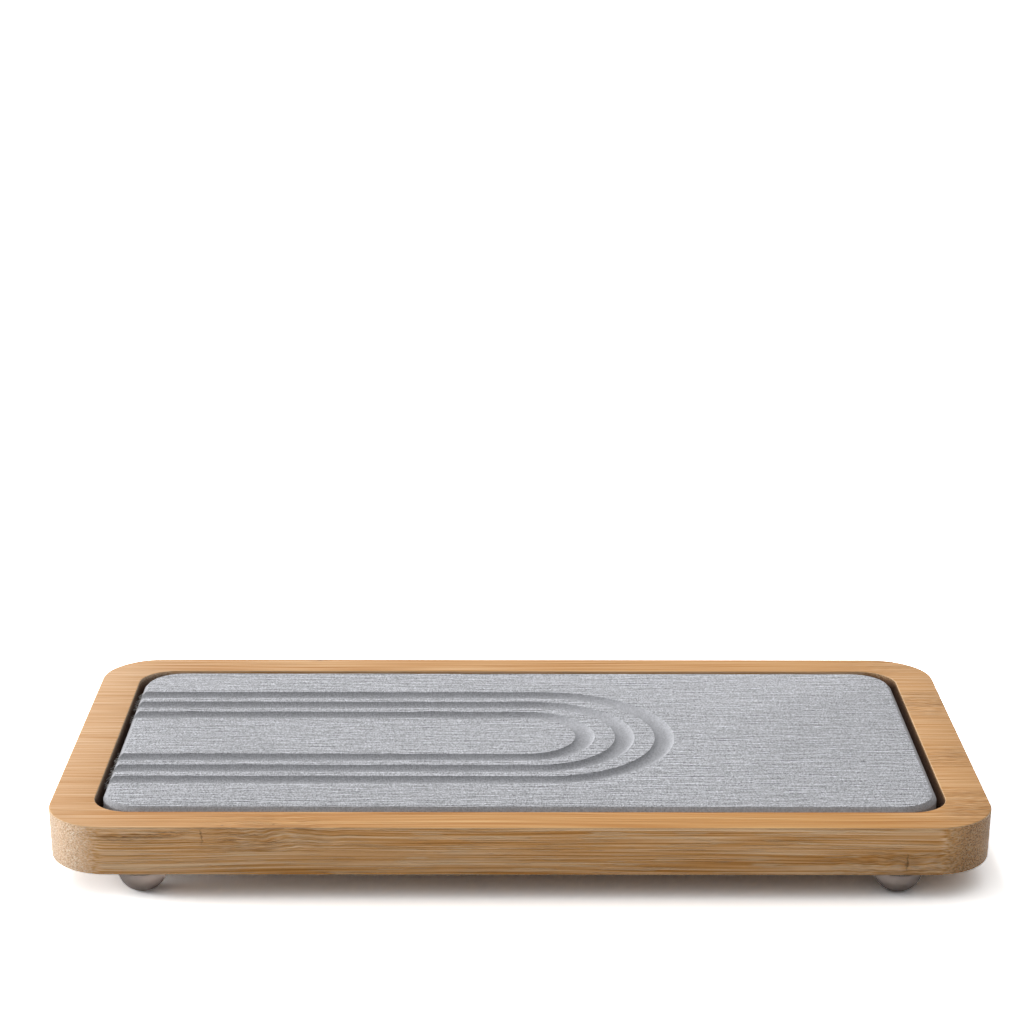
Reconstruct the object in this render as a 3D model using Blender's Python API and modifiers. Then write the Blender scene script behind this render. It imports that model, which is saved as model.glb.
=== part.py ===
"""Vanity tray: a bamboo board of two glued plies with a pocket milled into its top, a grey stone slab
lying loose in the pocket, and four clear stick-on feet. The slab has nested U-shaped grooves, cut with
a ball-nosed cutter, whose legs run out through its left end. Metres, +Z up, front towards -Y, with the
origin on the table under the middle of the tray."""

import math

import bmesh
import bpy

MM = 0.001

# Board: two plies of one outline
board_length = 280.0 * MM
board_width = 151.2 * MM
board_corner_radius = 19.2 * MM
board_edge_round = 0.5 * MM
upper_ply_thickness = 7.5 * MM
lower_ply_thickness = 7.5 * MM

# Pocket: a window right through the upper ply and a shallow bed in the lower one
end_rail_width = 12.9 * MM
long_rail_width = 12.5 * MM
pocket_corner_radius = 11.5 * MM
bed_depth = 1.25 * MM

# Slab
slab_clearance = 2.1 * MM
slab_stands_proud = 0.3 * MM
slab_corner_extra = 1.1 * MM
slab_top_chamfer = 1.4 * MM
slab_bottom_chamfer = 0.5 * MM

# Nested U grooves in the slab, numbered from the innermost out
groove_count = 3
groove_width = 6.2 * MM
groove_depth = 1.5 * MM
inner_bend_radius = 19.05 * MM
leg_pitch = 9.5 * MM
tip_pitch = 12.6 * MM
outer_tip_from_slab_end = 78.9 * MM

# Feet
foot_diameter = 15.0 * MM
foot_flat_diameter = 3.4 * MM
foot_from_board_end = 21.15 * MM
foot_from_board_front = 1.0 * MM
adhesive_thickness = 0.4 * MM
adhesive_setback = 0.3 * MM

# Fits between pieces
glue_line = 0.02 * MM
seat_gap = 0.05 * MM
cutter_overrun = 5.0 * MM
weld_distance = 0.001 * MM

# Facets
corner_steps = 16
edge_round_segments = 3
bend_steps = 44
cutter_tube_resolution = 16
foot_turn_steps = 40
foot_profile_steps = 9
sharp_angle = math.radians(30)

# Heights and places worked out from the sizes
foot_radius = foot_diameter / 2
foot_height = math.sqrt(foot_radius**2 - (foot_flat_diameter / 2) ** 2)
adhesive_bottom = foot_height + glue_line
board_bottom = adhesive_bottom + adhesive_thickness + glue_line
upper_ply_bottom = board_bottom + lower_ply_thickness + glue_line
board_top = upper_ply_bottom + upper_ply_thickness
pocket_floor = board_bottom + lower_ply_thickness - bed_depth
pocket_length = board_length - 2 * end_rail_width
pocket_width = board_width - 2 * long_rail_width
slab_length = pocket_length - 2 * slab_clearance
slab_width = pocket_width - 2 * slab_clearance
slab_corner_radius = pocket_corner_radius + slab_corner_extra
slab_bottom = pocket_floor + seat_gap
slab_top = board_top + slab_stands_proud
foot_x = board_length / 2 - foot_from_board_end - foot_radius
foot_y = board_width / 2 - foot_from_board_front - foot_radius


def clear_scene():
    for obj in list(bpy.data.objects):
        bpy.data.objects.remove(obj, do_unlink=True)


def add_collection(name):
    collection = bpy.data.collections.new(name)
    bpy.context.scene.collection.children.link(collection)
    return collection


def add_object(name, data, collection, location=(0.0, 0.0, 0.0), parent=None):
    obj = bpy.data.objects.new(name, data)
    obj.location = location
    obj.parent = parent
    collection.objects.link(obj)
    return obj


def add_material(name, colour, roughness, alpha=1.0):
    material = bpy.data.materials.new(name)
    material.use_nodes = True
    shader = material.node_tree.nodes["Principled BSDF"]
    shader.inputs["Base Color"].default_value = (*colour, 1.0)
    shader.inputs["Roughness"].default_value = roughness
    shader.inputs["Metallic"].default_value = 0.0
    shader.inputs["Alpha"].default_value = alpha
    return material


def smooth_group():
    """Node group that shades a mesh smooth but keeps its corners sharp, whatever modifiers cut it."""
    group = bpy.data.node_groups.new("smooth_by_angle", "GeometryNodeTree")
    group.interface.new_socket("Geometry", in_out="INPUT", socket_type="NodeSocketGeometry")
    group.interface.new_socket("Geometry", in_out="OUTPUT", socket_type="NodeSocketGeometry")
    nodes, links = group.nodes, group.links
    angle = nodes.new("GeometryNodeInputMeshEdgeAngle")
    is_round = nodes.new("FunctionNodeCompare")
    is_round.operation = "LESS_EQUAL"
    is_round.inputs["B"].default_value = sharp_angle
    edges = nodes.new("GeometryNodeSetShadeSmooth")
    edges.domain = "EDGE"
    faces = nodes.new("GeometryNodeSetShadeSmooth")
    faces.domain = "FACE"
    links.new(angle.outputs["Unsigned Angle"], is_round.inputs["A"])
    links.new(is_round.outputs["Result"], edges.inputs["Shade Smooth"])
    links.new(nodes.new("NodeGroupInput").outputs["Geometry"], edges.inputs["Geometry"])
    links.new(edges.outputs["Geometry"], faces.inputs["Geometry"])
    links.new(faces.outputs["Geometry"], nodes.new("NodeGroupOutput").inputs["Geometry"])
    return group


def dress(obj, material):
    """Gives a finished piece its material and its shading."""
    obj.data.materials.append(material)
    obj.modifiers.new("smooth by angle", "NODES").node_group = smooth_by_angle


def make_cutter(obj):
    obj.hide_render = True
    obj.display_type = "WIRE"
    return obj


def rounded_rectangle(length, width, radius):
    """Outline about the origin, anticlockwise: four corner arcs, which the straight sides join."""
    points = []
    for corner, (x_side, y_side) in enumerate(((1, 1), (-1, 1), (-1, -1), (1, -1))):
        x_centre = x_side * (length / 2 - radius)
        y_centre = y_side * (width / 2 - radius)
        for step in range(corner_steps + 1):
            angle = (corner + step / corner_steps) * math.pi / 2
            points.append((x_centre + radius * math.cos(angle), y_centre + radius * math.sin(angle)))
    return points


def mesh_from_curve(curve_object):
    """Replaces a curve object by a mesh object with the same name and place, its loose caps welded on."""
    bpy.context.view_layer.update()
    evaluated = curve_object.evaluated_get(bpy.context.evaluated_depsgraph_get())
    mesh = bpy.data.meshes.new_from_object(evaluated)
    shape = bmesh.new()
    shape.from_mesh(mesh)
    bmesh.ops.remove_doubles(shape, verts=shape.verts, dist=weld_distance)
    bmesh.ops.recalc_face_normals(shape, faces=shape.faces)
    shape.to_mesh(mesh)
    shape.free()
    name, collection, parent = curve_object.name, curve_object.users_collection[0], curve_object.parent
    place = curve_object.matrix_world.copy()
    bpy.data.objects.remove(curve_object, do_unlink=True)
    mesh.name = name
    solid = add_object(name, mesh, collection, parent=parent)
    solid.matrix_world = place
    return solid


def add_plate(name, outlines, bottom, top, collection, parent=None):
    """A flat plate between two heights. A second outline, inside the first, is a window through it."""
    curve = bpy.data.curves.new(name, "CURVE")
    curve.dimensions = "2D"
    curve.fill_mode = "BOTH"
    curve.extrude = (top - bottom) / 2
    for outline in outlines:
        spline = curve.splines.new("POLY")
        spline.points.add(len(outline) - 1)
        for point, (x, y) in zip(spline.points, outline):
            point.co = (x, y, 0.0, 1.0)
        spline.use_cyclic_u = True
    return mesh_from_curve(add_object(name, curve, collection, (0.0, 0.0, (bottom + top) / 2), parent))


def bevel_rim(plate, side, width, segments):
    """Rounds the rim of a plate, or chamfers it with one segment. side is 1 for its top and -1 for its
    underside. Only the edges where a face meets the walls are bevelled, not those inside the face."""
    rim = set()
    for wall in plate.data.polygons:
        if abs(wall.normal.z) > 0.5:
            continue
        for key in wall.edge_keys:
            if all(plate.data.vertices[index].co.z * side > 0 for index in key):
                rim.add(key)
    bevel = plate.modifiers.new("top rim" if side > 0 else "bottom rim", "BEVEL")
    bevel.edge_weight = bevel.name.replace(" ", "_")
    weights = plate.data.attributes.new(bevel.edge_weight, "FLOAT", "EDGE")
    weights.data.foreach_set("value", [float(edge.key in rim) for edge in plate.data.edges])
    bevel.limit_method = "WEIGHT"
    bevel.width = width
    bevel.segments = segments


def cut(obj, cutter):
    boolean = obj.modifiers.new(cutter.name, "BOOLEAN")
    boolean.operation = "DIFFERENCE"
    boolean.solver = "EXACT"
    boolean.object = cutter


def add_upper_ply(collection, parent):
    """The frame ply: its window is the pocket's wall."""
    outer = rounded_rectangle(board_length, board_width, board_corner_radius)
    window = rounded_rectangle(pocket_length, pocket_width, pocket_corner_radius)
    ply = add_plate("bamboo_upper_ply", (outer, window), upper_ply_bottom, board_top, collection, parent)
    bevel_rim(ply, 1, board_edge_round, edge_round_segments)
    return ply


def add_lower_ply(collection, cutters, parent):
    """The floor ply: the pocket's cutter went a little way into it, which leaves a shallow bed."""
    outer = rounded_rectangle(board_length, board_width, board_corner_radius)
    top = board_bottom + lower_ply_thickness
    ply = add_plate("bamboo_lower_ply", (outer,), board_bottom, top, collection, parent)
    bevel_rim(ply, -1, board_edge_round, edge_round_segments)
    window = rounded_rectangle(pocket_length, pocket_width, pocket_corner_radius)
    bed = add_plate("pocket_bed_cutter", (window,), pocket_floor, top + cutter_overrun, cutters)
    cut(ply, make_cutter(bed))
    return ply


def add_groove_cutter(number, cutters):
    """The path of the ball-nosed cutter for one U: in through the slab's left end, round and out again.
    The ball's radius is that of the arc which the groove's width and depth give. The bends aren't
    concentric: each U reaches further beyond the next inner one at its tip than along its legs."""
    bend_radius = inner_bend_radius + number * leg_pitch
    outer_tip = slab_length / 2 - outer_tip_from_slab_end
    bend_centre = outer_tip - (groove_count - 1 - number) * tip_pitch - bend_radius
    ball_radius = ((groove_width / 2) ** 2 + groove_depth**2) / (2 * groove_depth)
    way_in = -slab_length / 2 - cutter_overrun - ball_radius
    path = [(way_in, bend_radius)]
    for step in range(bend_steps + 1):
        angle = math.pi / 2 - step / bend_steps * math.pi
        path.append((bend_centre + bend_radius * math.cos(angle), bend_radius * math.sin(angle)))
    path.append((way_in, -bend_radius))
    curve = bpy.data.curves.new(f"groove_cutter_{number + 1}", "CURVE")
    curve.dimensions = "3D"
    curve.twist_mode = "Z_UP"
    curve.bevel_depth = ball_radius
    curve.bevel_resolution = cutter_tube_resolution
    curve.use_fill_caps = True
    spline = curve.splines.new("POLY")
    spline.points.add(len(path) - 1)
    for point, (x, y) in zip(spline.points, path):
        point.co = (x, y, 0.0, 1.0)
    ball_height = slab_top - groove_depth + ball_radius
    return make_cutter(mesh_from_curve(add_object(curve.name, curve, cutters, (0.0, 0.0, ball_height))))


def add_slab(collection, cutters, parent):
    """The stone slab, chamfered all round, with its grooves."""
    outline = rounded_rectangle(slab_length, slab_width, slab_corner_radius)
    slab = add_plate("stone_slab", (outline,), slab_bottom, slab_top, collection, parent)
    bevel_rim(slab, 1, slab_top_chamfer, 1)
    bevel_rim(slab, -1, slab_bottom_chamfer, 1)
    for number in range(groove_count):
        cut(slab, add_groove_cutter(number, cutters))
    return slab


def dome_profile():
    """Half outline of a foot: out across its flat back, down the ball, and in under its small flat."""
    last_angle = math.acos(foot_flat_diameter / 2 / foot_radius)
    points = [(0.0, foot_height)]
    for step in range(foot_profile_steps + 1):
        angle = step / foot_profile_steps * last_angle
        points.append((foot_radius * math.cos(angle), foot_height - foot_radius * math.sin(angle)))
    points.append((0.0, 0.0))
    return points


def add_foot(name, place, collection, parent):
    """A clear soft dome, flattened a little where it bears on the table."""
    profile = dome_profile()
    mesh = bpy.data.meshes.new(name)
    edges = [(index, index + 1) for index in range(len(profile) - 1)]
    mesh.from_pydata([(x, 0.0, z) for x, z in profile], edges, [])
    foot = add_object(name, mesh, collection, (*place, 0.0), parent)
    turn = foot.modifiers.new("turn", "SCREW")
    turn.steps = foot_turn_steps
    turn.render_steps = foot_turn_steps
    turn.use_merge_vertices = True
    turn.merge_threshold = weld_distance
    return foot


def add_adhesive(name, place, collection, parent):
    """The disc that holds a foot to the board, a little smaller than the foot's back."""
    radius = foot_radius - adhesive_setback
    sizes = {"radius1": radius, "radius2": radius, "depth": adhesive_thickness}
    disc = bmesh.new()
    bmesh.ops.create_cone(disc, cap_ends=True, segments=foot_turn_steps, **sizes)
    mesh = bpy.data.meshes.new(name)
    disc.to_mesh(mesh)
    disc.free()
    height = adhesive_bottom + adhesive_thickness / 2
    return add_object(name, mesh, collection, (*place, height), parent)


clear_scene()
parts = add_collection("vanity_tray")
cutters = add_collection("cutters")
smooth_by_angle = smooth_group()
bamboo = add_material("bamboo", (0.60, 0.38, 0.17), 0.55)
stone = add_material("stone", (0.45, 0.46, 0.48), 0.9)
clear_foot = add_material("clear_foot", (0.75, 0.74, 0.72), 0.15, alpha=0.4)
adhesive = add_material("adhesive", (0.62, 0.61, 0.58), 0.5, alpha=0.6)

board = add_object("board", None, parts)
lift = add_object("slab_lift", None, parts)
dress(add_upper_ply(parts, board), bamboo)
dress(add_lower_ply(parts, cutters, board), bamboo)
dress(add_slab(parts, cutters, lift), stone)
for row, y_side in (("front", -1), ("back", 1)):
    for side, x_side in (("left", -1), ("right", 1)):
        place = (x_side * foot_x, y_side * foot_y)
        dress(add_foot(f"foot_{row}_{side}", place, parts, board), clear_foot)
        dress(add_adhesive(f"foot_adhesive_{row}_{side}", place, parts, board), adhesive)
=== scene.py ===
"""Looks of the vanity tray: a bamboo board of two plies, a loose stone slab with U-shaped grooves, clear
stick-on feet, and the white studio that the tray stands in. Metres, in the frame's own axes."""

import math

import bmesh
import bpy
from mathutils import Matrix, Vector


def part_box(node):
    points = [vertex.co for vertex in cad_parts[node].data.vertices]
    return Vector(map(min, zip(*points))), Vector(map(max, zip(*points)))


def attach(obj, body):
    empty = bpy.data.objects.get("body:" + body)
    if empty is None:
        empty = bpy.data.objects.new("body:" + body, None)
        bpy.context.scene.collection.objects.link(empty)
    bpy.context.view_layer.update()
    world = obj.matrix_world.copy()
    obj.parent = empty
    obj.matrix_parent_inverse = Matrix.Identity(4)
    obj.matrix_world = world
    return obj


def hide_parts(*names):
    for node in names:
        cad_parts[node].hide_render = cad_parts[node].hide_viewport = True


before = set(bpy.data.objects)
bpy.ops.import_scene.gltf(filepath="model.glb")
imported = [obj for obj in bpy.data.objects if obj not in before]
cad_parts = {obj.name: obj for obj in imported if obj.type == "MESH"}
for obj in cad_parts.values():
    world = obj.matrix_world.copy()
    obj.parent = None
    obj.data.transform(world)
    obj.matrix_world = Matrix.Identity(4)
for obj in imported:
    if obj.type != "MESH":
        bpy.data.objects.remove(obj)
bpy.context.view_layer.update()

MM = 0.001

# Lower ply of the board. Flat-pressed bamboo 7.5 mm thick, cut and sanded to the outline that both
# plies share, with a soft arris at its underside. The pocket's cutter went a little way into its top and
# left the shallow bed that the slab lies in. The upper ply is glued on.

board_corner_radius = 19.2 * MM
board_arris = 0.45 * MM
side_lean = 0.5 * MM
pocket_length = 254.2 * MM
pocket_width = 126.2 * MM
pocket_corner_radius = 11.5 * MM
pocket_arris = 0.3 * MM
bed_depth = 1.25 * MM


def rounded_loop(length, width, radius, height, inset=0.0, corner_steps=32, side_steps=(70, 32)):
    """Points round a rounded rectangle at one height, anticlockwise, moved inwards by inset. Each corner
    has corner_steps chords, and the long and the short sides have side_steps pieces."""
    radius = radius - inset
    half = (length / 2 - inset - radius, width / 2 - inset - radius)
    corners = []
    for quarter, (x_side, y_side) in enumerate(((1, 1), (-1, 1), (-1, -1), (1, -1))):
        angles = [(quarter + step / corner_steps) * math.pi / 2 for step in range(corner_steps + 1)]
        centre = (x_side * half[0], y_side * half[1])
        corners.append([(centre[0] + radius * math.cos(a), centre[1] + radius * math.sin(a)) for a in angles])
    points = []
    for quarter, arc in enumerate(corners):
        start, end = arc[-1], corners[(quarter + 1) % 4][0]
        steps = side_steps[quarter % 2]
        points += arc
        for step in range(1, steps):
            share = step / steps
            points.append((start[0] + (end[0] - start[0]) * share, start[1] + (end[1] - start[1]) * share))
    return [(x, y, height) for x, y in points]


def arris(radius, steps=6):
    """Quarter round from a wall on, as pairs: how far in from the wall, and how far past its start."""
    turns = [math.radians(90 * step / steps) for step in range(steps + 1)]
    return [(radius * (1 - math.cos(turn)), radius * math.sin(turn)) for turn in turns]


def loft(name, loops, ring=False):
    """Solid skinned over loops of as many points each. A ring's last loop meets its first, and any other
    solid is capped at both ends."""
    shape = bmesh.new()
    rows = [[shape.verts.new(point) for point in loop] for loop in loops]
    pairs = list(zip(rows, rows[1:]))
    if ring:
        pairs.append((rows[-1], rows[0]))
    else:
        shape.faces.new(rows[0])
        shape.faces.new(rows[-1])
    for low, high in pairs:
        for index in range(len(low)):
            after = (index + 1) % len(low)
            shape.faces.new((low[index], low[after], high[after], high[index]))
    bmesh.ops.recalc_face_normals(shape, faces=shape.faces)
    mesh = bpy.data.meshes.new(name)
    shape.to_mesh(mesh)
    shape.free()
    piece = bpy.data.objects.new(name, mesh)
    bpy.context.scene.collection.objects.link(piece)
    mesh.shade_smooth()
    mesh.set_sharp_from_angle(angle=math.radians(35))
    return piece


def add_node(tree, kind, sockets=None, **options):
    """Adds a node. A socket takes a value, or the output of another node."""
    node = tree.nodes.new(kind)
    for option, value in options.items():
        setattr(node, option, value)
    for socket, value in (sockets or {}).items():
        if isinstance(value, bpy.types.NodeSocket):
            tree.links.new(value, node.inputs[socket])
        else:
            node.inputs[socket].default_value = value
    return node


def calculate(tree, operation, *values):
    kind = "ShaderNodeMath"
    return add_node(tree, kind, dict(enumerate(values)), operation=operation).outputs[0]


def calculate_vector(tree, operation, *values):
    node = add_node(tree, "ShaderNodeVectorMath", dict(enumerate(values)), operation=operation)
    return node.outputs["Value" if operation == "LENGTH" else "Vector"]


def remap(tree, value, low, high, to_low=0.0, to_high=1.0):
    """Straight change of range, held at both ends."""
    sockets = {"Value": value, "From Min": low, "From Max": high, "To Min": to_low, "To Max": to_high}
    return add_node(tree, "ShaderNodeMapRange", sockets).outputs["Result"]


def blend_colours(tree, factor, first, second, mode="MIX"):
    sockets = {"Factor": factor, 6: first, 7: second}
    return add_node(tree, "ShaderNodeMix", sockets, data_type="RGBA", blend_type=mode).outputs[2]


def scale_vector(tree, vector, scale):
    sockets = {0: vector, "Scale": scale}
    return add_node(tree, "ShaderNodeVectorMath", sockets, operation="SCALE").outputs[0]


def separate(tree, vector):
    return add_node(tree, "ShaderNodeSeparateXYZ", {0: vector}).outputs


def combine(tree, x, y, z):
    return add_node(tree, "ShaderNodeCombineXYZ", {"X": x, "Y": y, "Z": z}).outputs[0]


def stretched_noise(tree, place, scale, detail=2.0):
    """Noise from 0 to 1 about 0.5, whose lumps are 1/scale millimetres along each axis."""
    sockets = {"Vector": calculate_vector(tree, "MULTIPLY", place, scale), "Scale": 1.0, "Detail": detail}
    return add_node(tree, "ShaderNodeTexNoise", sockets)


def wander(tree, place, scale, detail=2.0):
    """Vector that varies about 0 as such a noise does."""
    noise = stretched_noise(tree, place, scale, detail).outputs["Color"]
    return calculate_vector(tree, "SUBTRACT", noise, (0.5, 0.5, 0.5))


def stretched_cells(tree, place, scale):
    """Random cells, which are 1/scale millimetres along each axis."""
    sockets = {"Vector": calculate_vector(tree, "MULTIPLY", place, scale), "Scale": 1.0, "Randomness": 1.0}
    return add_node(tree, "ShaderNodeTexVoronoi", sockets).outputs


def add_layer(tree, tone, noise, amount):
    """Adds to the tone what a noise has over 0.5, times an amount."""
    return calculate(tree, "MULTIPLY_ADD", calculate(tree, "SUBTRACT", noise, 0.5), amount, tone)


def distance_in_reaches(tree, place, centre, reach):
    """Distance from a centre, where 1 is the reach along each axis."""
    offset = calculate_vector(tree, "DIVIDE", calculate_vector(tree, "SUBTRACT", place, centre), reach)
    return calculate_vector(tree, "LENGTH", offset)


def bend_grain(tree, place, waves, facing_z):
    """Place as the grain has it: it drifts slowly everywhere, and swirls and curls where waves is over 0.
    It bends only within the plane of the face."""
    across = combine(tree, 0.0, facing_z, calculate(tree, "SUBTRACT", 1.0, facing_z))
    drift, swirl, curl = (0.012, 0.03, 0.03), (0.075, 0.08, 0.08), (0.26, 0.22, 0.22)
    grain = place
    for scale, reach, amount in ((drift, 3.0, 1.0), (swirl, 3.0, waves), (curl, 1.3, waves)):
        bent = calculate_vector(tree, "MULTIPLY", wander(tree, place, scale, 0.0), across)
        amount = calculate(tree, "MULTIPLY", amount, reach)
        grain = calculate_vector(tree, "ADD", grain, scale_vector(tree, bent, amount))
    return grain


def fibre_bundles(tree, grain):
    """Over 0 on the thin dark bundles of fibres along the grain, up to 1 on the darkest."""
    thin_bundles, thick_bundles = ((0.014, 1.7, 1.7), 0.26, 0.14), ((0.010, 0.45, 0.45), 0.09, 0.05)
    bundles = 0.0
    for scale, edge, core in (thin_bundles, thick_bundles):
        cells = stretched_cells(tree, grain, scale)
        darkness = add_node(tree, "ShaderNodeSeparateColor", {0: cells["Color"]}).outputs["Red"]
        darkness = remap(tree, darkness, 0.0, 1.0, 0.2, 1.0)
        bundle = calculate(tree, "MULTIPLY", remap(tree, cells["Distance"], edge, core), darkness)
        bundles = calculate(tree, "MAXIMUM", bundles, bundle)
    return bundles


def gap_shade_share(tree, place, cut_floor, cut_top):
    """How far the pocket is painted dark, as painted shade in the gap round the slab: its walls up to
    cut_top, more so further down, and a strip along the edge of its floor, which is at cut_floor."""
    x, y, z = separate(tree, place)
    wall_margin = 1.0
    from_side = calculate(tree, "ABSOLUTE", x)
    from_side = calculate(tree, "SUBTRACT", from_side, pocket_length / MM / 2 + wall_margin)
    from_front = calculate(tree, "ABSOLUTE", y)
    from_front = calculate(tree, "SUBTRACT", from_front, pocket_width / MM / 2 + wall_margin)
    from_wall = calculate(tree, "MAXIMUM", from_side, from_front)
    inside = calculate(tree, "LESS_THAN", from_wall, 0.0)
    gap_shade = remap(tree, z, cut_top, cut_top - 1.0)
    gap_shade = calculate(tree, "MULTIPLY", gap_shade, remap(tree, z, cut_floor - 1.0, cut_floor - 0.5))
    rim = remap(tree, from_wall, -6.0, -3.0)
    rim = calculate(tree, "MAXIMUM", rim, remap(tree, z, cut_floor + 0.02, cut_floor + 0.2))
    gap_shade = calculate(tree, "MULTIPLY", calculate(tree, "MULTIPLY", gap_shade, inside), rim)
    # Darker the further down the walls, as painted shade.
    return calculate(tree, "MULTIPLY", gap_shade, remap(tree, z, cut_top - 0.6, cut_top - 3.0, 0.60, 0.95))


def ring_shares(tree, place, growth_rings):
    """How far growth rings make the grain swirl, and how far they tear it."""
    waves, tears = 0.0, 0.0
    for centre, reach, wave_share, tear_share in growth_rings:
        near = remap(tree, distance_in_reaches(tree, place, centre, reach), 1.0, 0.3)
        waves = calculate(tree, "MAXIMUM", waves, calculate(tree, "MULTIPLY", near, wave_share))
        tears = calculate(tree, "MAXIMUM", tears, calculate(tree, "MULTIPLY", near, tear_share))
    return waves, tears


def grain_tone(tree, grain, fibres, bundles, tears, upright, end_grain):
    """Tone of the grain, darker below 0.5 and paler above: bands, streaks and fibres, flecks where it is
    torn, and the dark bundles."""
    bands = stretched_noise(tree, grain, (0.004, 0.11, 0.11)).outputs["Fac"]
    streaks = stretched_noise(tree, grain, (0.008, 0.62, 0.62)).outputs["Fac"]
    flecks = stretched_noise(tree, grain, (0.28, 2.5, 2.5), 0.0).outputs["Fac"]
    middle_tone, band_amount, bundle_amount = 0.46, 0.5, -0.75
    untorn = calculate(tree, "MULTIPLY_ADD", tears, -0.5, 1.0)
    streak_amount = calculate(tree, "MULTIPLY", calculate(tree, "MULTIPLY_ADD", upright, -1.1, 1.4), untorn)
    fibre_amount = calculate(tree, "MULTIPLY_ADD", upright, 0.5, 3.0)
    fibre_amount = calculate(tree, "MULTIPLY_ADD", end_grain, -3.2, fibre_amount)
    fibre_amount = calculate(tree, "MULTIPLY", fibre_amount, untorn)
    fleck_amount = calculate(tree, "MULTIPLY", tears, 2.2)
    tone = add_layer(tree, middle_tone, bands, band_amount)
    tone = add_layer(tree, tone, streaks, streak_amount)
    tone = add_layer(tree, tone, fibres, fibre_amount)
    tone = add_layer(tree, tone, flecks, fleck_amount)
    return calculate(tree, "MULTIPLY_ADD", calculate(tree, "MULTIPLY", bundles, untorn), bundle_amount, tone)


def tone_colour(tree, tone):
    ramp = add_node(tree, "ShaderNodeValToRGB", {"Fac": remap(tree, tone, -0.5, 1.5)})
    ramp.color_ramp.elements[0].color = (0.380, 0.140, 0.020, 1.0)
    ramp.color_ramp.elements[1].color = (0.740, 0.440, 0.170, 1.0)
    ramp.color_ramp.elements.new(0.25).color = (0.510, 0.218, 0.046, 1.0)
    ramp.color_ramp.elements.new(0.50).color = (0.590, 0.287, 0.083, 1.0)
    ramp.color_ramp.elements.new(0.75).color = (0.670, 0.364, 0.125, 1.0)
    return ramp.outputs["Color"]


def pale_by_place(tree, colour, place, upright):
    """Pales the colour on the end rails, more so on the left one, towards the back and on upright sides."""
    x, y, _ = separate(tree, place)
    paler = calculate(tree, "MULTIPLY", remap(tree, calculate(tree, "ABSOLUTE", x), 105.0, 130.0), 0.48)
    paler = calculate(tree, "ADD", paler, remap(tree, x, -70.0, -140.0, 0.0, 0.16))
    paler = calculate(tree, "ADD", paler, remap(tree, y, -60.0, 60.0, 0.0, 0.30))
    paler = calculate(tree, "MULTIPLY_ADD", upright, 0.90, paler)
    pale_colour = blend_colours(tree, 1.0, colour, (1.20, 1.43, 2.35, 1.0), "MULTIPLY")
    return blend_colours(tree, paler, colour, pale_colour)


def lay_over(tree, colour, where, strength, above):
    """Lays another colour over one, by a share that varies over the surface, times a strength."""
    return blend_colours(tree, calculate(tree, "MULTIPLY", where, strength), colour, above)


def left_to_right(tree, place, left, right):
    """Colour that changes from one to the other along the board."""
    return blend_colours(tree, remap(tree, separate(tree, place)["X"], -100.0, 100.0), left, right)


def cut_ends(tree, colour, place, end_grain):
    """Dots where the fibres are cut across: pale specks, then dark pits. Both are paler at the left end and
    darker at the right: partly their own tone, partly painted light from the left.
    """
    specks = remap(tree, stretched_noise(tree, place, (1.2, 3.2, 3.2), 0.0).outputs["Fac"], 0.50, 0.66)
    speck_colour = left_to_right(tree, place, (1.000, 0.900, 0.760, 1.0), (0.620, 0.470, 0.310, 1.0))
    colour = lay_over(tree, colour, calculate(tree, "MULTIPLY", specks, end_grain), 0.65, speck_colour)
    pits = remap(tree, stretched_noise(tree, place, (1.0, 2.6, 2.6), 0.0).outputs["Fac"], 0.46, 0.34)
    pit_colour = left_to_right(tree, place, (0.400, 0.205, 0.085, 1.0), (0.110, 0.048, 0.018, 1.0))
    return lay_over(tree, colour, calculate(tree, "MULTIPLY", pits, end_grain), 0.60, pit_colour)


def add_marks(tree, colour, place, marks):
    """Dark marks with frayed edges."""
    fray = wander(tree, place, (0.5, 0.9, 0.9))
    frayed = calculate_vector(tree, "MULTIPLY_ADD", fray, (2.4, 0.8, 0.8), place)
    for centre, reach in marks:
        mark = remap(tree, distance_in_reaches(tree, frayed, centre, reach), 1.0, 0.4, 0.0, 0.62)
        colour = blend_colours(tree, mark, colour, (0.200, 0.085, 0.030, 1.0))
    return colour


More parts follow.
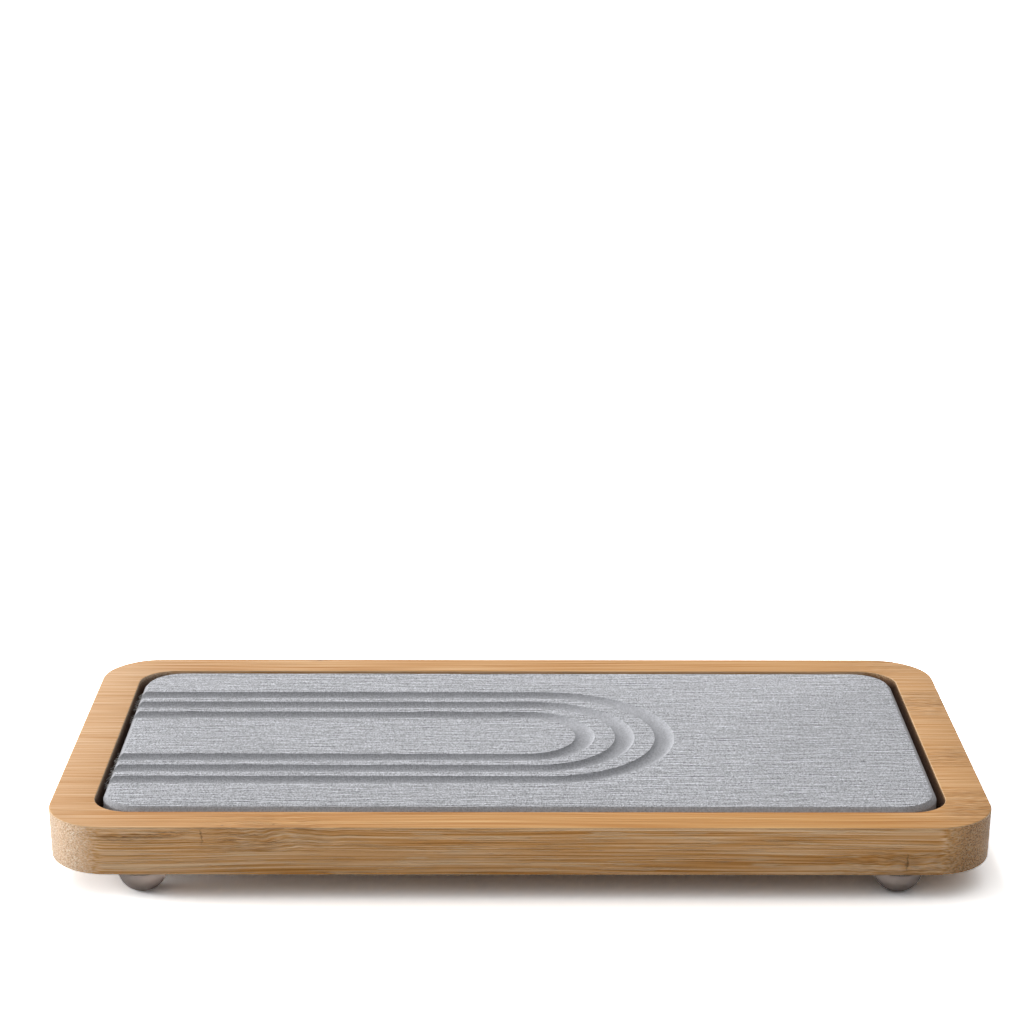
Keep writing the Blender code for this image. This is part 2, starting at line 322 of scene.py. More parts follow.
def bamboo(name, growth_rings, marks, cut_floor, cut_top):
    """Sanded and oiled bamboo. Its fibres run along X in dark bundles, which end as dots where the board's
    corners cut them. Each growth ring (centre, reach, waves, tears), in millimetres, makes them swirl and
    tear, and each mark (centre, reach) is a dark spot or a joint's line. Between cut_floor and cut_top the
    pocket's walls and the edge of its bed are painted dark, more so further down: painted shade in the gap
    round the slab."""
    material = bpy.data.materials.new(name)
    material.use_nodes = True
    tree = material.node_tree
    shader = tree.nodes["Principled BSDF"]
    coordinates = add_node(tree, "ShaderNodeTexCoord").outputs
    place = scale_vector(tree, coordinates["Object"], 1 / MM)
    facing_x, _, facing_z = separate(tree, calculate_vector(tree, "ABSOLUTE", coordinates["Normal"]))
    upright = remap(tree, facing_z, 0.8, 0.3)
    end_grain = calculate(tree, "MULTIPLY", remap(tree, facing_x, 0.12, 0.50), upright)
    along_grain = calculate(tree, "SUBTRACT", upright, end_grain)
    worn_and_highlit_arris = calculate(tree, "MULTIPLY", remap(tree, facing_z, 0.15, 0.5), remap(tree, facing_z, 0.98, 0.8))

    waves, tears = ring_shares(tree, place, growth_rings)
    grain = bend_grain(tree, place, waves, facing_z)
    bundles = fibre_bundles(tree, grain)
    fibres = stretched_noise(tree, grain, (0.022, 2.6, 2.6), 0.0).outputs["Fac"]
    dashes = stretched_noise(tree, grain, (0.080, 2.8, 2.8), 0.0).outputs["Fac"]
    torn = calculate(tree, "MULTIPLY", remap(tree, dashes, 0.47, 0.38), tears)
    lifted_glinting_fibres = calculate(tree, "MULTIPLY", remap(tree, dashes, 0.62, 0.69), along_grain)

    tone = grain_tone(tree, grain, fibres, bundles, tears, upright, end_grain)
    colour = pale_by_place(tree, tone_colour(tree, tone), place, upright)
    # The cut ends go from pale at the left end to dark at the right: partly their own tone, partly painted
    # light and shade, lit from the left.
    cut_colour = left_to_right(tree, place, (0.780, 0.640, 0.500, 1.0), (0.230, 0.110, 0.045, 1.0))
    colour = lay_over(tree, colour, end_grain, 0.45, cut_colour)
    # Arrises are paler: partly sanding wear, partly a painted highlight.
    colour = lay_over(tree, colour, worn_and_highlit_arris, 0.55, (0.850, 0.640, 0.410, 1.0))
    colour = lay_over(tree, colour, torn, 0.32, (0.230, 0.105, 0.040, 1.0))
    # Raised fibres along the grain are painted paler: a painted highlight where they catch the light. Their
    # relief is in the bump.
    colour = lay_over(tree, colour, lifted_glinting_fibres, 0.40, (0.820, 0.620, 0.400, 1.0))
    colour = cut_ends(tree, colour, place, end_grain)
    # Darker towards the right end, and on the ends where the fibres are cut straight across. Faces along the
    # grain are painted lighter: painted light.
    shade = remap(tree, separate(tree, place)["X"], 60.0, 140.0, 1.0, 0.93)
    shade = calculate(tree, "MULTIPLY", shade, calculate(tree, "MULTIPLY_ADD", along_grain, 0.08, 1.0))
    shade = calculate(tree, "MULTIPLY", shade, remap(tree, facing_x, 0.75, 1.0, 1.0, 0.70))
    colour = add_marks(tree, scale_vector(tree, colour, shade), place, marks)
    # Painted shade: the pocket's walls and the edge of its bed are made dark brown where the gap round the
    # slab lies in shade.
    gap_shade_colour = (0.100, 0.052, 0.034, 1.0)
    colour = blend_colours(tree, gap_shade_share(tree, place, cut_floor, cut_top), colour, gap_shade_colour)

    height = calculate(tree, "MULTIPLY_ADD", fibres, 0.8, calculate(tree, "MULTIPLY", bundles, -0.8))
    height = calculate(tree, "MULTIPLY_ADD", torn, -1.5, height)
    height = calculate(tree, "MULTIPLY_ADD", lifted_glinting_fibres, 0.8, height)
    grain_depth = 0.16 * MM
    bump = add_node(tree, "ShaderNodeBump", {"Height": height, "Strength": 1.0, "Distance": grain_depth})
    shader.inputs["Specular IOR Level"].default_value = 0.12
    tree.links.new(colour, shader.inputs["Base Color"])
    tree.links.new(remap(tree, fibres, 0.3, 0.7, 0.62, 0.50), shader.inputs["Roughness"])
    tree.links.new(bump.outputs["Normal"], shader.inputs["Normal"])
    return material


def finish_piece(piece, material, body, slot, *nodes):
    """Gives a finished piece its material, and lets it stand for its CAD nodes and ride on their body."""
    piece.data.materials.clear()
    piece.data.materials.append(material)
    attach(piece, body)
    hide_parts(*nodes)


low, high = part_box("bamboo_lower_ply")
board_length, board_width = high.x - low.x, high.y - low.y
board_bottom, board_top = low.z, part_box("bamboo_upper_ply")[1].z


def board_loop(height, inset=0.0):
    """Outline of the board at a height. Its sides lean in a little towards the underside."""
    lean = side_lean * (board_top - height) / (board_top - board_bottom)
    return rounded_loop(board_length, board_width, board_corner_radius, height, inset + lean)


loops = [
    rounded_loop(pocket_length, pocket_width, pocket_corner_radius, high.z - bed_depth),
    rounded_loop(pocket_length, pocket_width, pocket_corner_radius, high.z),
    board_loop(high.z),
]
loops += [board_loop(low.z + board_arris - drop, inset) for inset, drop in arris(board_arris)]
lower_ply = loft("lower_ply", loops)
lower_rings = [
    ((113.0, -75.0, 11.0), (30.0, 12.0, 7.0), 0.8, 0.8),
    ((112.5, -75.0, 10.5), (4.0, 12.0, 5.0), 0.2, 1.0),
    ((-60.0, 40.0, 10.0), (20.0, 12.0, 8.0), 0.8, 0.6),
    ((20.0, -20.0, 10.0), (22.0, 12.0, 8.0), 0.8, 0.6),
]
lower_marks = [((113.0, -75.0, 12.0), (0.5, 8.0, 3.4)), ((112.6, -75.0, 11.2), (0.9, 8.0, 0.6))]
cut_floor, cut_top = (high.z - bed_depth) / MM, high.z / MM + 8.0
lower_bamboo = bamboo("lower_ply_bamboo", lower_rings, lower_marks, cut_floor, cut_top)
finish_piece(lower_ply, lower_bamboo, "board", "bamboo", "bamboo_lower_ply")

# Upper ply of the board. The same flat-pressed bamboo, with the pocket's window cut right through it
# before it was glued on. Its arrises are broken with sandpaper inside and out. Growth rings show in its
# front face near the left end, all along its right end, and faintly at the back.

low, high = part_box("bamboo_upper_ply")
loops = [board_loop(low.z)]
loops += [board_loop(high.z - board_arris + rise, inset) for inset, rise in arris(board_arris)]
for inset, rise in reversed(arris(pocket_arris)):
    height = high.z - pocket_arris + rise
    loops.append(rounded_loop(pocket_length, pocket_width, pocket_corner_radius, height, -inset))
loops.append(rounded_loop(pocket_length, pocket_width, pocket_corner_radius, low.z))
upper_ply = loft("upper_ply", loops, ring=True)
upper_rings = [
    ((-74.0, -74.0, 20.0), (26.0, 12.0, 9.0), 1.0, 0.8),
    ((-112.0, -76.0, 20.4), (22.0, 6.0, 2.2), 0.0, 1.0),
    ((124.0, 68.0, 20.0), (20.0, 12.0, 12.0), 0.5, 0.4),
    ((134.0, 32.0, 20.0), (16.0, 15.0, 12.0), 0.5, 1.0),
    ((136.0, -17.0, 20.0), (14.0, 12.0, 12.0), 0.6, 0.9),
    ((134.0, -58.0, 20.0), (16.0, 18.0, 12.0), 0.4, 1.0),
    ((-68.0, 75.0, 20.0), (6.0, 3.0, 12.0), 0.5, 0.6),
]
upper_marks = [
    ((-93.0, -76.0, 20.0), (0.35, 3.0, 3.0)),
    ((-112.0, -76.0, 19.7), (15.0, 4.0, 0.34)),
    ((-106.0, -76.0, 20.5), (12.0, 4.0, 0.28)),
    ((-117.0, -76.0, 18.8), (8.0, 4.0, 0.24)),
    ((-103.0, -76.0, 21.3), (9.0, 4.0, 0.24)),
    ((-84.0, -76.0, 19.0), (7.0, 4.0, 0.22)),
    ((-79.0, -76.0, 20.6), (9.0, 4.0, 0.22)),
    ((-72.0, -76.0, 18.3), (8.0, 4.0, 0.22)),
    ((-68.0, 74.5, 22.5), (1.2, 0.7, 2.0)),
    ((-87.0, -73.7, 22.5), (0.6, 0.5, 2.0)),
    ((-72.0, -73.0, 22.5), (0.6, 0.5, 2.0)),
]
upper_bamboo = bamboo("upper_ply_bamboo", upper_rings, upper_marks, cut_floor, high.z / MM - 0.4)
finish_piece(upper_ply, upper_bamboo, "board", "bamboo", "bamboo_upper_ply")

# Adhesive discs. Clear acrylic foam tape 0.4 mm thick, punched a little smaller than the feet. One holds
# each foot to the board's underside.

disc_arris = 0.08 * MM


def circle(centre, radius, height, steps=64):
    turns = [math.tau * step / steps for step in range(steps)]
    return [(centre[0] + radius * math.cos(a), centre[1] + radius * math.sin(a), height) for a in turns]


def clear_plastic(name, colour, roughness, haze_scale):
    """Clear soft plastic with a little haze: a colour that tints it, and faint ripples."""
    material = bpy.data.materials.new(name)
    material.use_nodes = True
    tree = material.node_tree
    shader = tree.nodes["Principled BSDF"]
    shader.inputs["Transmission Weight"].default_value = 0.70
    shader.inputs["Specular IOR Level"].default_value = 0.20
    shader.inputs["IOR"].default_value = 1.46
    place = add_node(tree, "ShaderNodeTexCoord").outputs["Object"]
    noise = add_node(tree, "ShaderNodeTexNoise", {"Vector": place, "Scale": haze_scale, "Detail": 2.0})
    haze = noise.outputs["Fac"]
    haze_colour = (0.72, 0.66, 0.62, 1.0)
    tinted = blend_colours(tree, remap(tree, haze, 0.3, 0.7, 0.0, 0.3), colour, haze_colour)
    tree.links.new(tinted, shader.inputs["Base Color"])
    rough = remap(tree, haze, 0.3, 0.7, roughness, roughness * 2)
    tree.links.new(rough, shader.inputs["Roughness"])
    ripple_depth = 0.02 * MM
    bump = add_node(tree, "ShaderNodeBump", {"Height": haze, "Distance": ripple_depth})
    tree.links.new(bump.outputs["Normal"], shader.inputs["Normal"])
    return material


adhesive = clear_plastic("adhesive_foam", (0.86, 0.85, 0.82, 1.0), 0.25, 1500.0)
for side in ("front_left", "front_right", "back_left", "back_right"):
    low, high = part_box(f"foot_adhesive_{side}")
    centre = (low + high) / 2
    radius = (high.x - low.x) / 2
    edge = arris(disc_arris)
    loops = [circle(centre, radius - inset, low.z + disc_arris - rise) for inset, rise in reversed(edge)]
    loops += [circle(centre, radius - inset, high.z - disc_arris + rise) for inset, rise in edge]
    disc = loft(f"adhesive_disc_{side}", loops)
    finish_piece(disc, adhesive, "board", "foot_adhesive", f"foot_adhesive_{side}")

# Feet. Domes cast in clear soft plastic, 15 mm across, with a flat back and a small flat where they bear
# on the table.

foot_flat_radius = 1.7 * MM
# The feet's brownish grey is painted: a painted view of the bamboo and the shade seen through the clear
# domes.
foot_plastic = clear_plastic("foot_plastic", (0.60, 0.50, 0.45, 1.0), 0.36, 300.0)
for side in ("front_left", "front_right", "back_left", "back_right"):
    low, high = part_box(f"foot_{side}")
    centre = (low + high) / 2
    radius = (high.x - low.x) / 2
    steps = 24
    last_turn = math.acos(foot_flat_radius / radius)
    loops = []
    for step in range(steps + 1):
        turn = last_turn * step / steps
        loops.append(circle(centre, radius * math.cos(turn), high.z - radius * math.sin(turn)))
    foot = loft(f"dome_foot_{side}", loops)
    finish_piece(foot, foot_plastic, "board", "clear_foot", f"foot_{side}")

# Slab. Pressed diatomite stone with short fibres in it, 9 mm thick, sawn, sanded along its length and
# chamfered. A ball-nosed cutter has milled three nested U-shaped grooves, which run out through its left
# end. The slab lies loose in the pocket.

slab_corner_radius = 12.6 * MM
slab_chamfer = 1.4 * MM
slab_bottom_chamfer = 0.5 * MM
slab_arris = 0.15 * MM
groove_width = 6.2 * MM
groove_depth = 1.5 * MM
inner_radius = 19.05 * MM
leg_pitch = 9.5 * MM
groove_count = 3


def group_with_sockets(name, sockets):
    """Geometry node group with a geometry output and the inputs named in sockets."""
    group = bpy.data.node_groups.new(name, "GeometryNodeTree")
    group.interface.new_socket("Geometry", in_out="OUTPUT", socket_type="NodeSocketGeometry")
    for socket, kind in sockets.items():
        group.interface.new_socket(socket, in_out="INPUT", socket_type=kind)
    return group, group.nodes.new("NodeGroupInput").outputs, group.nodes.new("NodeGroupOutput").inputs


def run_group(piece, group, values):
    """Runs a node group on a piece, with its inputs set by name, and keeps the result as a plain mesh."""
    modifier = piece.modifiers.new(group.name, "NODES")
    modifier.node_group = group
    for item in group.interface.items_tree:
        if item.in_out == "INPUT" and item.name in values:
            modifier[item.identifier] = values[item.name]
    evaluated = piece.evaluated_get(bpy.context.evaluated_depsgraph_get())
    mesh = bpy.data.meshes.new_from_object(evaluated)
    piece.modifiers.clear()
    piece.data = mesh


def numbered_lines(group, count, points):
    """As many straight lines as count says. Gives them, and for each point on them the number of its line
    and the share of the way along it."""
    sockets = {"Start": (0.0, 0.0, 0.0), "End": (1.0, 0.0, 0.0)}
    line = add_node(group, "GeometryNodeCurvePrimitiveLine", sockets)
    line = add_node(group, "GeometryNodeResampleCurve", {"Curve": line.outputs["Curve"], "Count": points})
    sockets = {"Geometry": line.outputs["Curve"], "Amount": count}
    lines = add_node(group, "GeometryNodeDuplicateElements", sockets, domain="SPLINE").outputs
    place = add_node(group, "GeometryNodeInputPosition").outputs[0]
    return lines["Geometry"], lines["Duplicate Index"], separate(group, place)["X"]


def end_group(group, geometry, material, result):
    """Gives a geometry out of the group, with its instances made real and its material set."""
    geometry = add_node(group, "GeometryNodeRealizeInstances", {"Geometry": geometry}).outputs[0]
    geometry = add_node(group, "GeometryNodeSetMaterial", {"Geometry": geometry, "Material": material})
    group.links.new(geometry.outputs[0], result["Geometry"])


def groove_group():
    """Cuts nested U-shaped grooves into a slab. Each path runs in through the left end, round and out."""
    group, given, result = group_with_sockets("u_grooves", {
        "Geometry": "NodeSocketGeometry",
        "Count": "NodeSocketInt",
        "Width": "NodeSocketFloat",
        "Depth": "NodeSocketFloat",
        "Inner Radius": "NodeSocketFloat",
        "Leg Pitch": "NodeSocketFloat",
        "Tip Pitch": "NodeSocketFloat",
        "Outer Tip": "NodeSocketFloat",
        "Way In": "NodeSocketFloat",
        "Top": "NodeSocketFloat",
        "Raggedness": "NodeSocketFloat",
        "Stone": "NodeSocketMaterial",
    })
    half_width = calculate(group, "MULTIPLY", given["Width"], 0.5)
    squares = calculate(group, "POWER", given["Depth"], 2.0)
    squares = calculate(group, "MULTIPLY_ADD", half_width, half_width, squares)
    ball = calculate(group, "DIVIDE", squares, calculate(group, "MULTIPLY", given["Depth"], 2.0))
    paths, number, along = numbered_lines(group, given["Count"], points=420)
    bend = calculate(group, "MULTIPLY_ADD", number, given["Leg Pitch"], given["Inner Radius"])
    further = calculate(group, "SUBTRACT", calculate(group, "SUBTRACT", given["Count"], 1.0), number)
    tip = calculate(group, "MULTIPLY", further, given["Tip Pitch"])
    tip = calculate(group, "SUBTRACT", given["Outer Tip"], tip)
    centre = calculate(group, "SUBTRACT", tip, bend)
    bend_start, bend_end = 0.37, 0.63
    way_in, way_out = remap(group, along, 0.0, bend_start, 1.0, 0.0), remap(group, along, bend_end, 1.0)
    legs = calculate(group, "ADD", way_in, way_out)
    turn = remap(group, along, bend_start, bend_end, 0.0, math.pi)
    x = calculate(group, "MULTIPLY_ADD", bend, calculate(group, "SINE", turn), centre)
    x = calculate(group, "MULTIPLY_ADD", legs, calculate(group, "SUBTRACT", given["Way In"], centre), x)
    y = calculate(group, "MULTIPLY", bend, calculate(group, "COSINE", turn))
    z = calculate(group, "ADD", calculate(group, "SUBTRACT", given["Top"], given["Depth"]), ball)
    sockets = {"Geometry": paths, "Position": combine(group, x, y, z)}
    paths = add_node(group, "GeometryNodeSetPosition", sockets)
    paths = add_node(group, "GeometryNodeSetCurveNormal", {"Curve": paths.outputs["Geometry"]}, mode="Z_UP")
    sockets = {"Radius": ball, "Start Angle": math.radians(26), "Sweep Angle": math.radians(128)}
    profile = add_node(group, "GeometryNodeCurveArc", sockets | {"Resolution": 42, "Connect Center": True})
    sockets = {"Curve": paths.outputs["Curve"], "Profile Curve": profile.outputs["Curve"], "Fill Caps": True}
    cutter = add_node(group, "GeometryNodeCurveToMesh", sockets).outputs["Mesh"]
    noise = add_node(group, "ShaderNodeTexNoise", {"Scale": 900.0, "Detail": 2.0}).outputs["Fac"]
    rough = calculate(group, "MULTIPLY", calculate(group, "SUBTRACT", noise, 0.5), given["Raggedness"])
    normal = add_node(group, "GeometryNodeInputNormal").outputs["Normal"]
    sockets = {"Geometry": cutter, "Offset": scale_vector(group, normal, rough)}
    cutter = add_node(group, "GeometryNodeSetPosition", sockets).outputs["Geometry"]
    sockets = {"Mesh 1": given["Geometry"], "Mesh 2": cutter}
    slab = add_node(group, "GeometryNodeMeshBoolean", sockets, operation="DIFFERENCE", solver="EXACT")
    angle = add_node(group, "GeometryNodeInputMeshEdgeAngle").outputs["Unsigned Angle"]
    is_round = calculate(group, "LESS_THAN", angle, math.radians(32))
    sockets = {"Geometry": slab.outputs["Mesh"], "Shade Smooth": is_round}
    slab = add_node(group, "GeometryNodeSetShadeSmooth", sockets, domain="EDGE").outputs[0]
    slab = add_node(group, "GeometryNodeSetShadeSmooth", {"Geometry": slab}, domain="FACE").outputs[0]
    end_group(group, slab, given["Stone"], result)
    return group


def brushed_marks(tree, x, y, rows, reach):
    """Marks along X, over and under 0, in so many rows to a millimetre, each about 1/reach millimetres
    long. Rows lie row_step apart in the noise, so that they differ, and stand out from their neighbours."""
    row_step, neighbour_share = 7.31, -0.45
    row = calculate(tree, "FLOOR", calculate(tree, "MULTIPLY", y, rows))
    row = calculate(tree, "MULTIPLY", row, row_step)
    row = combine(tree, calculate(tree, "MULTIPLY", x, reach), row, rows)
    marks = 0.0
    for beside, share in ((0.0, 1.0), (row_step, neighbour_share), (-row_step, neighbour_share)):
        spot = calculate_vector(tree, "ADD", row, (0.0, beside, 0.0))
        spot = stretched_noise(tree, spot, (1.0, 1.0, 1.0), 0.0).outputs["Fac"]
        marks = add_layer(tree, marks, spot, share)
    return marks


def sanded_stone(top):
    """Grey diatomite stone. Its sanded face, at the height top, has short dark scratches along X, and
    everywhere it is speckled with pale grains and pores."""
    material = bpy.data.materials.new("stone")
    material.use_nodes = True
    tree = material.node_tree
    shader = tree.nodes["Principled BSDF"]
    place = add_node(tree, "ShaderNodeTexCoord").outputs["Object"]
    height = separate(tree, place)["Z"]
    face = remap(tree, height, top - 0.08 * MM, top - 0.03 * MM)
    place = scale_vector(tree, place, 1 / MM)
    clouds = stretched_noise(tree, place, (0.03, 0.08, 0.08)).outputs["Fac"]
    tone = remap(tree, clouds, 0.3, 0.7, 0.97, 1.03)

    cells = stretched_cells(tree, place, (3.0, 2.0, 2.0))
    grains = add_node(tree, "ShaderNodeSeparateColor", {0: cells["Color"]}).outputs["Green"]
    grains = calculate(tree, "SUBTRACT", grains, 0.5)
    grain_amount = calculate(tree, "MULTIPLY_ADD", face, 0.42, 0.32)
    tone = calculate(tree, "MULTIPLY_ADD", grains, grain_amount, tone)
    pores = calculate(tree, "MULTIPLY", calculate(tree, "SUBTRACT", cells["Distance"], 0.42), 1.1)
    pore_amount = calculate(tree, "MULTIPLY_ADD", face, 0.65, 0.2)
    tone = calculate(tree, "MULTIPLY_ADD", pores, pore_amount, tone)
    relief = calculate(tree, "MULTIPLY_ADD", grains, 0.5, pores)

    x, y, _ = separate(tree, place)
    drift = stretched_noise(tree, place, (0.02, 0.05, 0.0), 0.0).outputs["Fac"]
    y = calculate(tree, "MULTIPLY_ADD", drift, 1.5, y)
    for rows, reach, amount in ((2.9, 0.16, 2.1), (2.3, 0.07, 1.4), (0.8, 0.10, 0.60)):
        marks = calculate(tree, "MULTIPLY", brushed_marks(tree, x, y, rows, reach), face)
        tone = calculate(tree, "MULTIPLY_ADD", marks, amount, tone)
        relief = calculate(tree, "MULTIPLY_ADD", marks, 0.5, relief)

    grey = (0.458, 0.464, 0.490)
    relief_depth = 0.12 * MM
    bump = add_node(tree, "ShaderNodeBump", {"Height": relief, "Strength": 1.0, "Distance": relief_depth})
    shader.inputs["Specular IOR Level"].default_value = 0.15
    tree.links.new(scale_vector(tree, grey, tone), shader.inputs["Base Color"])
    tree.links.new(remap(tree, tone, 0.5, 1.5, 0.78, 0.95), shader.inputs["Roughness"])
    tree.links.new(bump.outputs["Normal"], shader.inputs["Normal"])
    return material


low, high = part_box("stone_slab")
slab_length, slab_width = high.x - low.x, high.y - low.y
loops = []
for inset, height in (
    (slab_bottom_chamfer, low.z),
    (0.0, low.z + slab_bottom_chamfer),
    (0.0, high.z - slab_chamfer),
    (slab_chamfer, high.z),
):
    loops.append(rounded_loop(slab_length, slab_width, slab_corner_radius, height, inset))
slab = loft("slab", loops)
soften = slab.modifiers.new("arris", "BEVEL")
soften.width = slab_arris
soften.segments = 2
soften.angle_limit = math.radians(30)
stone = sanded_stone(high.z)
run_group(slab, groove_group(), {
    "Count": groove_count,
    "Width": groove_width,
    "Depth": groove_depth,
    "Inner Radius": inner_radius,
    "Leg Pitch": leg_pitch,
    "Tip Pitch": 12.6 * MM,
    "Outer Tip": 46.1 * MM,
    "Way In": low.x - 5.0 * MM,
    "Top": high.z,
    "Raggedness": 0.04 * MM,
    "Stone": stone,
})
finish_piece(slab, stone, "slab", "stone", "stone_slab")

# Whiskers. Pale fibres of the stone's filler, torn out by the cutter where the grooves run out through
# the slab's left end. They stand out of the groove mouths, into the gap.


def whisker_group():
    """Thin curled hairs. Each starts near one of the groove mouths and points out of the slab's end."""
    group, given, result = group_with_sockets("whiskers", {
        "Geometry": "NodeSocketGeometry",
        "Hairs": "NodeSocketInt",
        "Mouth Offset": "NodeSocketFloat",
        "Mouth Pitch": "NodeSocketFloat",
        "Groove Width": "NodeSocketFloat",
        "Groove Depth": "NodeSocketFloat",
        "Start": "NodeSocketVector",
        "Longest": "NodeSocketFloat",
        "Thickness": "NodeSocketFloat",
        "Seed": "NodeSocketInt",
        "Fibre": "NodeSocketMaterial",
    })
    hairs, number, along = numbered_lines(group, given["Hairs"], points=7)

    def chance(low, high, offset):
        seed = calculate(group, "ADD", given["Seed"], float(offset))
        sockets = {2: low, 3: high, "ID": number, "Seed": seed}
        return add_node(group, "FunctionNodeRandomValue", sockets, data_type="FLOAT").outputs[1]

    side = calculate(group, "SIGN", chance(-1.0, 1.0, 1))
    groove = calculate(group, "FLOOR", chance(0.0, groove_count - 0.001, 2))
    mouth = calculate(group, "MULTIPLY_ADD", groove, given["Mouth Pitch"], given["Mouth Offset"])
    share = chance(-1.0, 1.0, 3)
    across = calculate(group, "MULTIPLY", calculate(group, "MULTIPLY", share, 0.5), given["Groove Width"])
    depth = calculate(group, "SUBTRACT", calculate(group, "MULTIPLY", share, share), 1.0)
    depth = calculate(group, "MULTIPLY", depth, given["Groove Depth"])
    start = separate(group, given["Start"])
    reach = calculate(group, "MULTIPLY", chance(0.25, 1.0, 4), along)
    reach = calculate(group, "MULTIPLY", reach, given["Longest"])
    curl = calculate(group, "MULTIPLY", calculate(group, "POWER", along, 1.7), given["Longest"])
    x = calculate(group, "SUBTRACT", start["X"], reach)
    y = calculate(group, "MULTIPLY", side, calculate(group, "ADD", mouth, across))
    y = calculate(group, "MULTIPLY_ADD", curl, chance(-0.7, 0.7, 5), y)
    z = calculate(group, "ADD", start["Z"], depth)
    z = calculate(group, "MULTIPLY_ADD", curl, chance(-0.5, 0.25, 6), z)
    sockets = {"Geometry": hairs, "Position": combine(group, x, y, z)}
    hairs = add_node(group, "GeometryNodeSetPosition", sockets)
    sockets = {"Resolution": 5, "Radius": given["Thickness"]}
    profile = add_node(group, "GeometryNodeCurvePrimitiveCircle", sockets).outputs["Curve"]
    thin = remap(group, along, 0.0, 1.0, 1.0, 0.35)
    sockets = {"Curve": hairs.outputs["Geometry"], "Profile Curve": profile, "Scale": thin, "Fill Caps": True}
    hairs = add_node(group, "GeometryNodeCurveToMesh", sockets).outputs["Mesh"]
    end_group(group, hairs, given["Fibre"], result)
    return group


fibre = bpy.data.materials.new("torn_fibre")
fibre.use_nodes = True
tree = fibre.node_tree
place = add_node(tree, "ShaderNodeTexCoord").outputs["Object"]
noise = add_node(tree, "ShaderNodeTexNoise", {"Vector": place, "Scale": 2500.0, "Detail": 1.0})
darker, paler = (0.60, 0.59, 0.57, 1.0), (0.85, 0.84, 0.82, 1.0)
colour = blend_colours(tree, noise.outputs["Fac"], darker, paler)
tree.links.new(colour, tree.nodes["Principled BSDF"].inputs["Base Color"])
tree.nodes["Principled BSDF"].inputs["Roughness"].default_value = 0.7

whiskers = bpy.data.objects.new("whiskers", bpy.data.meshes.new("whiskers"))
bpy.context.scene.collection.objects.link(whiskers)
run_group(whiskers, whisker_group(), {
    "Hairs": 110,
    "Mouth Offset": inner_radius,
    "Mouth Pitch": leg_pitch,
    "Groove Width": groove_width,
    "Groove Depth": groove_depth,
    "Start": (low.x + 1.0 * MM, 0.0, high.z - 0.15 * MM),
    "Longest": 2.2 * MM,
    "Thickness": 0.035 * MM,
    "Seed": 7,
    "Fibre": fibre,
})
whiskers.data.shade_smooth()
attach(whiskers, "slab")

# Studio. White table and surroundings, two large soft lamps, one low on the tray's left and one high
# behind it, and the camera where the photograph's lower view was taken from.

camera = bpy.data.objects.new("camera", bpy.data.cameras.new("camera"))
bpy.context.scene.collection.objects.link(camera)
bpy.context.scene.camera = camera
camera.data.sensor_width = 36.0
camera.data.lens = 94.25
camera.location = (-0.0065709, -0.8001983, 0.3223123)
camera.rotation_euler = (math.radians(74.2656), math.radians(-0.1596), math.radians(-0.2493))
bpy.context.scene.view_settings.view_transform = "Standard"


def seen_directly(tree):
    """1 for what the camera sees, straight or in a gloss or through clear plastic, and 0 for light."""
    rays = add_node(tree, "ShaderNodeLightPath").outputs
    seen = calculate(tree, "MAXIMUM", rays["Is Camera Ray"], rays["Is Glossy Ray"])
    seen = calculate(tree, "MAXIMUM", seen, rays["Is Transmission Ray"])
    return calculate(tree, "MULTIPLY", seen, calculate(tree, "LESS_THAN", rays["Diffuse Depth"], 0.5))


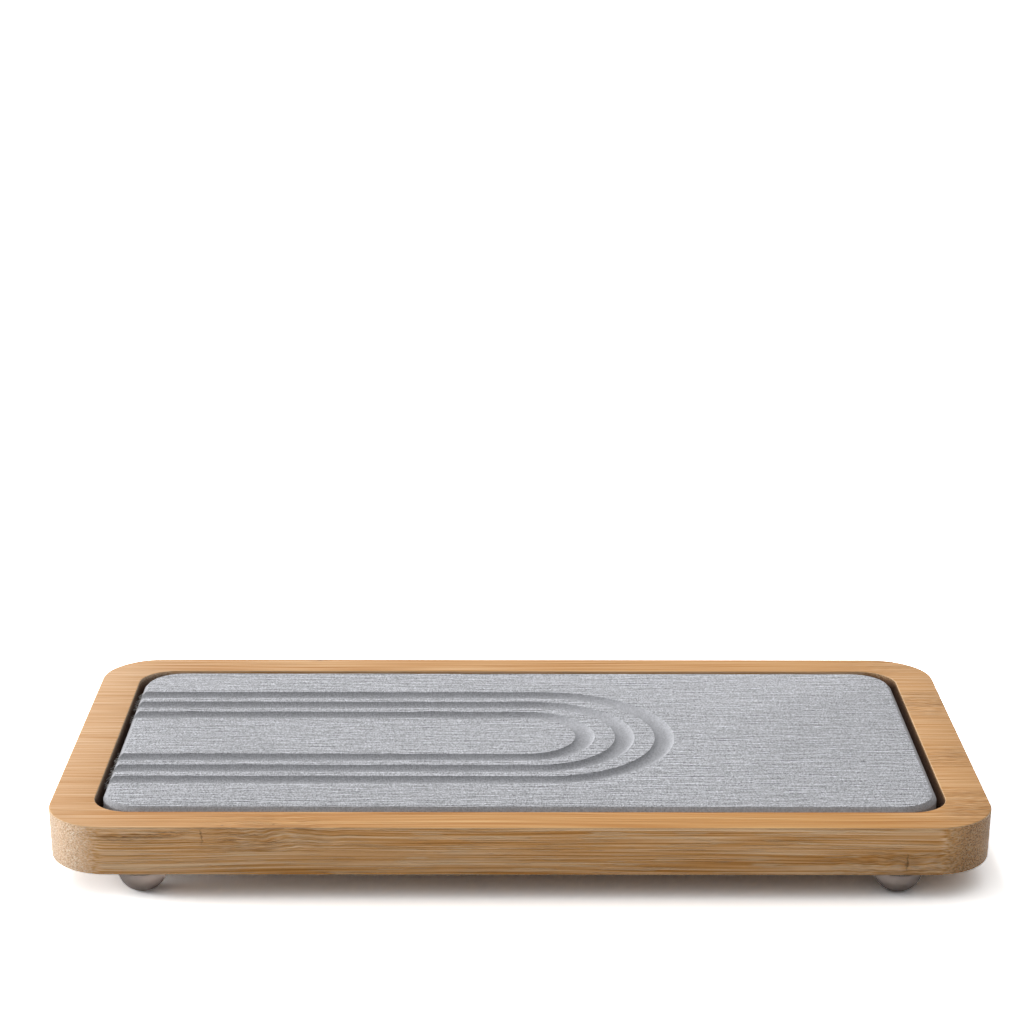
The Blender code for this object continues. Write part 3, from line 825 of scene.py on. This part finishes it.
floor_size = 12.0
floor = bpy.data.objects.new("floor", bpy.data.meshes.new("floor"))
shape = bmesh.new()
bmesh.ops.create_grid(shape, x_segments=1, y_segments=1, size=floor_size / 2)
shape.to_mesh(floor.data)
shape.free()
bpy.context.scene.collection.objects.link(floor)
white = bpy.data.materials.new("white_table")
white.use_nodes = True
tree = white.node_tree
tree.nodes.clear()
seen = seen_directly(tree)
place = add_node(tree, "ShaderNodeTexCoord").outputs["Object"]
x, y, _ = separate(tree, place)
beside = calculate(tree, "SUBTRACT", calculate(tree, "ABSOLUTE", x), board_length / 2)
ahead = calculate(tree, "SUBTRACT", calculate(tree, "ABSOLUTE", y), board_width / 2)
from_tray = calculate(tree, "MAXIMUM", beside, ahead)
# Light that the table passes on: as a white table does round the tray, and very little under it, which
# deepens the shadow there: painted shade.
bounce_colour_dark_under_tray = remap(tree, from_tray, 0.0, 15.0 * MM, 0.08, 0.95)
seen_white = 3.10
sockets = {"Factor": seen, "A": bounce_colour_dark_under_tray, "B": seen_white}
shade = add_node(tree, "ShaderNodeMix", sockets).outputs["Result"]
diffuse = add_node(tree, "ShaderNodeBsdfDiffuse", {"Color": shade})
add_node(tree, "ShaderNodeOutputMaterial", {"Surface": diffuse.outputs["BSDF"]})
floor.data.materials.append(white)

world = bpy.data.worlds.new("studio")
bpy.context.scene.world = world
world.use_nodes = True
tree = world.node_tree
background = tree.nodes["Background"]
direction = separate(tree, add_node(tree, "ShaderNodeTexCoord").outputs["Generated"])
glow = calculate(tree, "MULTIPLY_ADD", direction["X"], -0.14, 0.245)
glow = calculate(tree, "MULTIPLY_ADD", direction["Y"], 0.14, glow)
glow = calculate(tree, "MULTIPLY_ADD", direction["Z"], 0.32, glow)
seen = seen_directly(tree)
strength = add_node(tree, "ShaderNodeMix", {"Factor": seen, "A": glow, "B": 1.0}).outputs["Result"]
background.inputs["Color"].default_value = (1.0, 1.0, 1.0, 1.0)
tree.links.new(strength, background.inputs["Strength"])


def soft_sun(name, strength, spread, direction):
    """Lamp far away in a direction, spread degrees across."""
    lamp = bpy.data.objects.new(name, bpy.data.lights.new(name, "SUN"))
    bpy.context.scene.collection.objects.link(lamp)
    lamp.data.energy = strength
    lamp.data.angle = math.radians(spread)
    lamp.rotation_euler = Vector(direction).to_track_quat("Z", "Y").to_euler()


soft_sun("left_lamp", 2.3, 26, (-0.96, 0.14, 0.23))
soft_sun("back_lamp", 1.8, 20, (-0.25, 0.76, 0.59))
